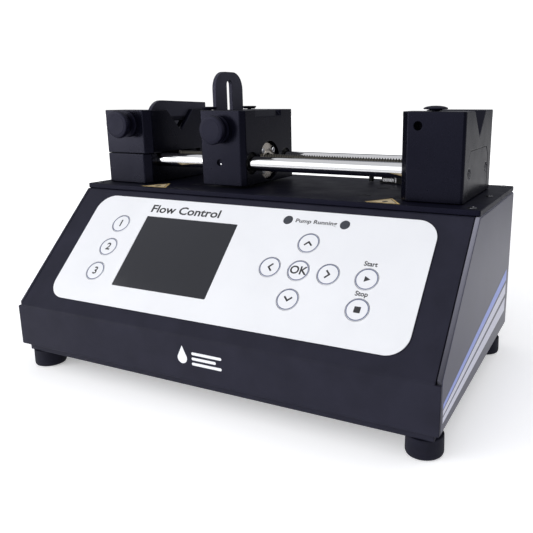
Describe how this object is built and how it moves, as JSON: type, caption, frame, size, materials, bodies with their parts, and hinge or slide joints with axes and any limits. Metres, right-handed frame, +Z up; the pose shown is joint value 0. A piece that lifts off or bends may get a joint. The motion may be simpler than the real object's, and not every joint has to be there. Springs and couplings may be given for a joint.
{
  "type": "syringe pump",
  "caption": "Bench syringe pump: a wedge-shaped metal case with a display and keypad, and a screw-driven carriage on guide rods between blocks with V grooves.",
  "frame": {"origin": "on the table under the middle of the overall box, at the feet's soles", "axes": "+X to the right along the guide rods as seen from the front, +Y from the front face to the back, +Z up"},
  "size_m": [0.3, 0.188, 0.2031],
  "materials": {
    "case_paint": "fine powder coat",
    "black_anodised": "black anodised, satin",
    "panel_print": "satin printed film",
    "screen_glass": "dark glossy window",
    "indicator_lens": "dark tinted lens",
    "knob_plastic": "satin black",
    "foot_rubber": "matte black rubber",
    "rod_chrome": "ground and chromed",
    "screw_steel": "oiled steel",
    "nut_metal": "nickel-plated, warm",
    "seal_black": "black seals and sleeves",
    "motor_paint": "black",
    "belt_rubber": "black belt",
    "pulley_aluminium": "turned",
    "circuit_board": "green board",
    "socket_plastic": "black moulding",
    "socket_metal": "plated shell"
  },
  "bodies": {
    "case": {"base_tray": "case_paint", "foot_front_left": "foot_rubber", "foot_front_right": "foot_rubber", "foot_rear_left": "foot_rubber", "foot_rear_right": "foot_rubber", "front_cover": "case_paint", "side_panel_left": "case_paint", "side_panel_right": "case_paint", "rear_panel": "case_paint", "power_inlet": "socket_plastic", "data_socket": "socket_metal", "switch_bezel": "socket_plastic", "top_plate": "black_anodised", "panel_overlay": "panel_print", "display_window": "screen_glass", "display_module": "circuit_board", "indicator_left": "indicator_lens", "indicator_right": "indicator_lens", "keypad_board": "circuit_board", "control_board": "circuit_board", "guide_rod_front": "rod_chrome", "guide_rod_rear": "rod_chrome", "screw_bushing": "nut_metal", "screw_bearing": "screw_steel", "stepper_motor": "motor_paint", "motor_bracket": "case_paint", "timing_belt": "belt_rubber", "left_block_base": "black_anodised", "left_block_cradle": "black_anodised", "right_block": "black_anodised", "right_block_cover": "black_anodised", "limit_switch": "socket_plastic"},
    "carriage": {"carriage_block": "black_anodised", "bushing_front": "seal_black", "bushing_rear": "seal_black", "drive_nut": "nut_metal"},
    "drive_screw": {"lead_screw": "screw_steel", "screw_pulley": "pulley_aluminium"},
    "motor_rotor": {"motor_shaft": "screw_steel", "motor_pulley": "pulley_aluminium"},
    "barrel_stop": {"barrel_stop": "black_anodised"},
    "plunger_stop": {"plunger_stop": "black_anodised"},
    "barrel_clamp_knob": {"barrel_clamp_knob": "knob_plastic"},
    "plunger_clamp_knob": {"plunger_clamp_knob": "knob_plastic"},
    "right_thumbscrew": {"right_thumbscrew": "knob_plastic"},
    "carriage_thumbscrew_front": {"carriage_thumbscrew_front": "knob_plastic"},
    "carriage_thumbscrew_rear": {"carriage_thumbscrew_rear": "knob_plastic"},
    "power_rocker": {"power_rocker": "socket_plastic"},
    "key_one": {"key_one": "panel_print"},
    "key_two": {"key_two": "panel_print"},
    "key_three": {"key_three": "panel_print"},
    "key_up": {"key_up": "panel_print"},
    "key_left": {"key_left": "panel_print"},
    "key_ok": {"key_ok": "panel_print"},
    "key_right": {"key_right": "panel_print"},
    "key_down": {"key_down": "panel_print"},
    "key_start": {"key_start": "panel_print"},
    "key_stop": {"key_stop": "panel_print"}
  },
  "joints": [
    {"name": "carriage_slide", "type": "slide", "parent": "case", "child": "carriage", "axis": [1, 0, 0], "range_m": [-0.039, 0.102]},
    {"name": "screw_spin", "type": "hinge", "parent": "case", "child": "drive_screw", "pos_m": [0, 0.031, 0.1389], "axis": [1, 0, 0], "range_deg": [-4591, 1756]},
    {"name": "motor_spin", "type": "hinge", "parent": "case", "child": "motor_rotor", "pos_m": [0.1, 0.031, 0.0763], "axis": [1, 0, 0], "range_deg": [-9182, 3512]},
    {"name": "barrel_stop_slide", "type": "slide", "parent": "case", "child": "barrel_stop", "axis": [0, 0, 1], "range_m": [0, 0.012]},
    {"name": "plunger_stop_slide", "type": "slide", "parent": "carriage", "child": "plunger_stop", "axis": [0, 0, 1], "range_m": [0, 0.012]},
    {"name": "barrel_clamp_turn", "type": "hinge", "parent": "case", "child": "barrel_clamp_knob", "pos_m": [-0.1187, -0.0077, 0.1656], "axis": [0, -1, 0], "range_deg": [0, 720]},
    {"name": "plunger_clamp_turn", "type": "hinge", "parent": "carriage", "child": "plunger_clamp_knob", "pos_m": [-0.0392, -0.004, 0.1626], "axis": [0, -1, 0], "range_deg": [0, 720]},
    {"name": "right_thumbscrew_turn", "type": "hinge", "parent": "case", "child": "right_thumbscrew", "pos_m": [0.1145, 0.0035, 0.1758], "axis": [0, 0, 1], "range_deg": [0, 720]},
    {"name": "carriage_thumbscrew_front_turn", "type": "hinge", "parent": "carriage", "child": "carriage_thumbscrew_front", "pos_m": [-0.0518, 0.0045, 0.1758], "axis": [0, 0, 1], "range_deg": [0, 720]},
    {"name": "carriage_thumbscrew_rear_turn", "type": "hinge", "parent": "carriage", "child": "carriage_thumbscrew_rear", "pos_m": [-0.0518, 0.0575, 0.1758], "axis": [0, 0, 1], "range_deg": [0, 720]},
    {"name": "power_rocker_tilt", "type": "hinge", "parent": "case", "child": "power_rocker", "pos_m": [-0.11175, 0.0919, 0.0421], "axis": [1, 0, 0], "range_deg": [0, 18]},
    {"name": "key_one_press", "type": "slide", "parent": "case", "child": "key_one", "axis": [0, 0.7071, -0.7071], "range_m": [0, 0.0005], "stiffness_N_per_m": 800},
    {"name": "key_two_press", "type": "slide", "parent": "case", "child": "key_two", "axis": [0, 0.7071, -0.7071], "range_m": [0, 0.0005], "stiffness_N_per_m": 800},
    {"name": "key_three_press", "type": "slide", "parent": "case", "child": "key_three", "axis": [0, 0.7071, -0.7071], "range_m": [0, 0.0005], "stiffness_N_per_m": 800},
    {"name": "key_up_press", "type": "slide", "parent": "case", "child": "key_up", "axis": [0, 0.7071, -0.7071], "range_m": [0, 0.0005], "stiffness_N_per_m": 800},
    {"name": "key_left_press", "type": "slide", "parent": "case", "child": "key_left", "axis": [0, 0.7071, -0.7071], "range_m": [0, 0.0005], "stiffness_N_per_m": 800},
    {"name": "key_ok_press", "type": "slide", "parent": "case", "child": "key_ok", "axis": [0, 0.7071, -0.7071], "range_m": [0, 0.0005], "stiffness_N_per_m": 800},
    {"name": "key_right_press", "type": "slide", "parent": "case", "child": "key_right", "axis": [0, 0.7071, -0.7071], "range_m": [0, 0.0005], "stiffness_N_per_m": 800},
    {"name": "key_down_press", "type": "slide", "parent": "case", "child": "key_down", "axis": [0, 0.7071, -0.7071], "range_m": [0, 0.0005], "stiffness_N_per_m": 800},
    {"name": "key_start_press", "type": "slide", "parent": "case", "child": "key_start", "axis": [0, 0.7071, -0.7071], "range_m": [0, 0.0005], "stiffness_N_per_m": 800},
    {"name": "key_stop_press", "type": "slide", "parent": "case", "child": "key_stop", "axis": [0, 0.7071, -0.7071], "range_m": [0, 0.0005], "stiffness_N_per_m": 800}
  ],
  "couplings": [
    {"joint": "screw_spin", "follows": "carriage_slide", "rad_per_m": -785.4},
    {"joint": "motor_spin", "follows": "carriage_slide", "rad_per_m": -1570.8}
  ]
}
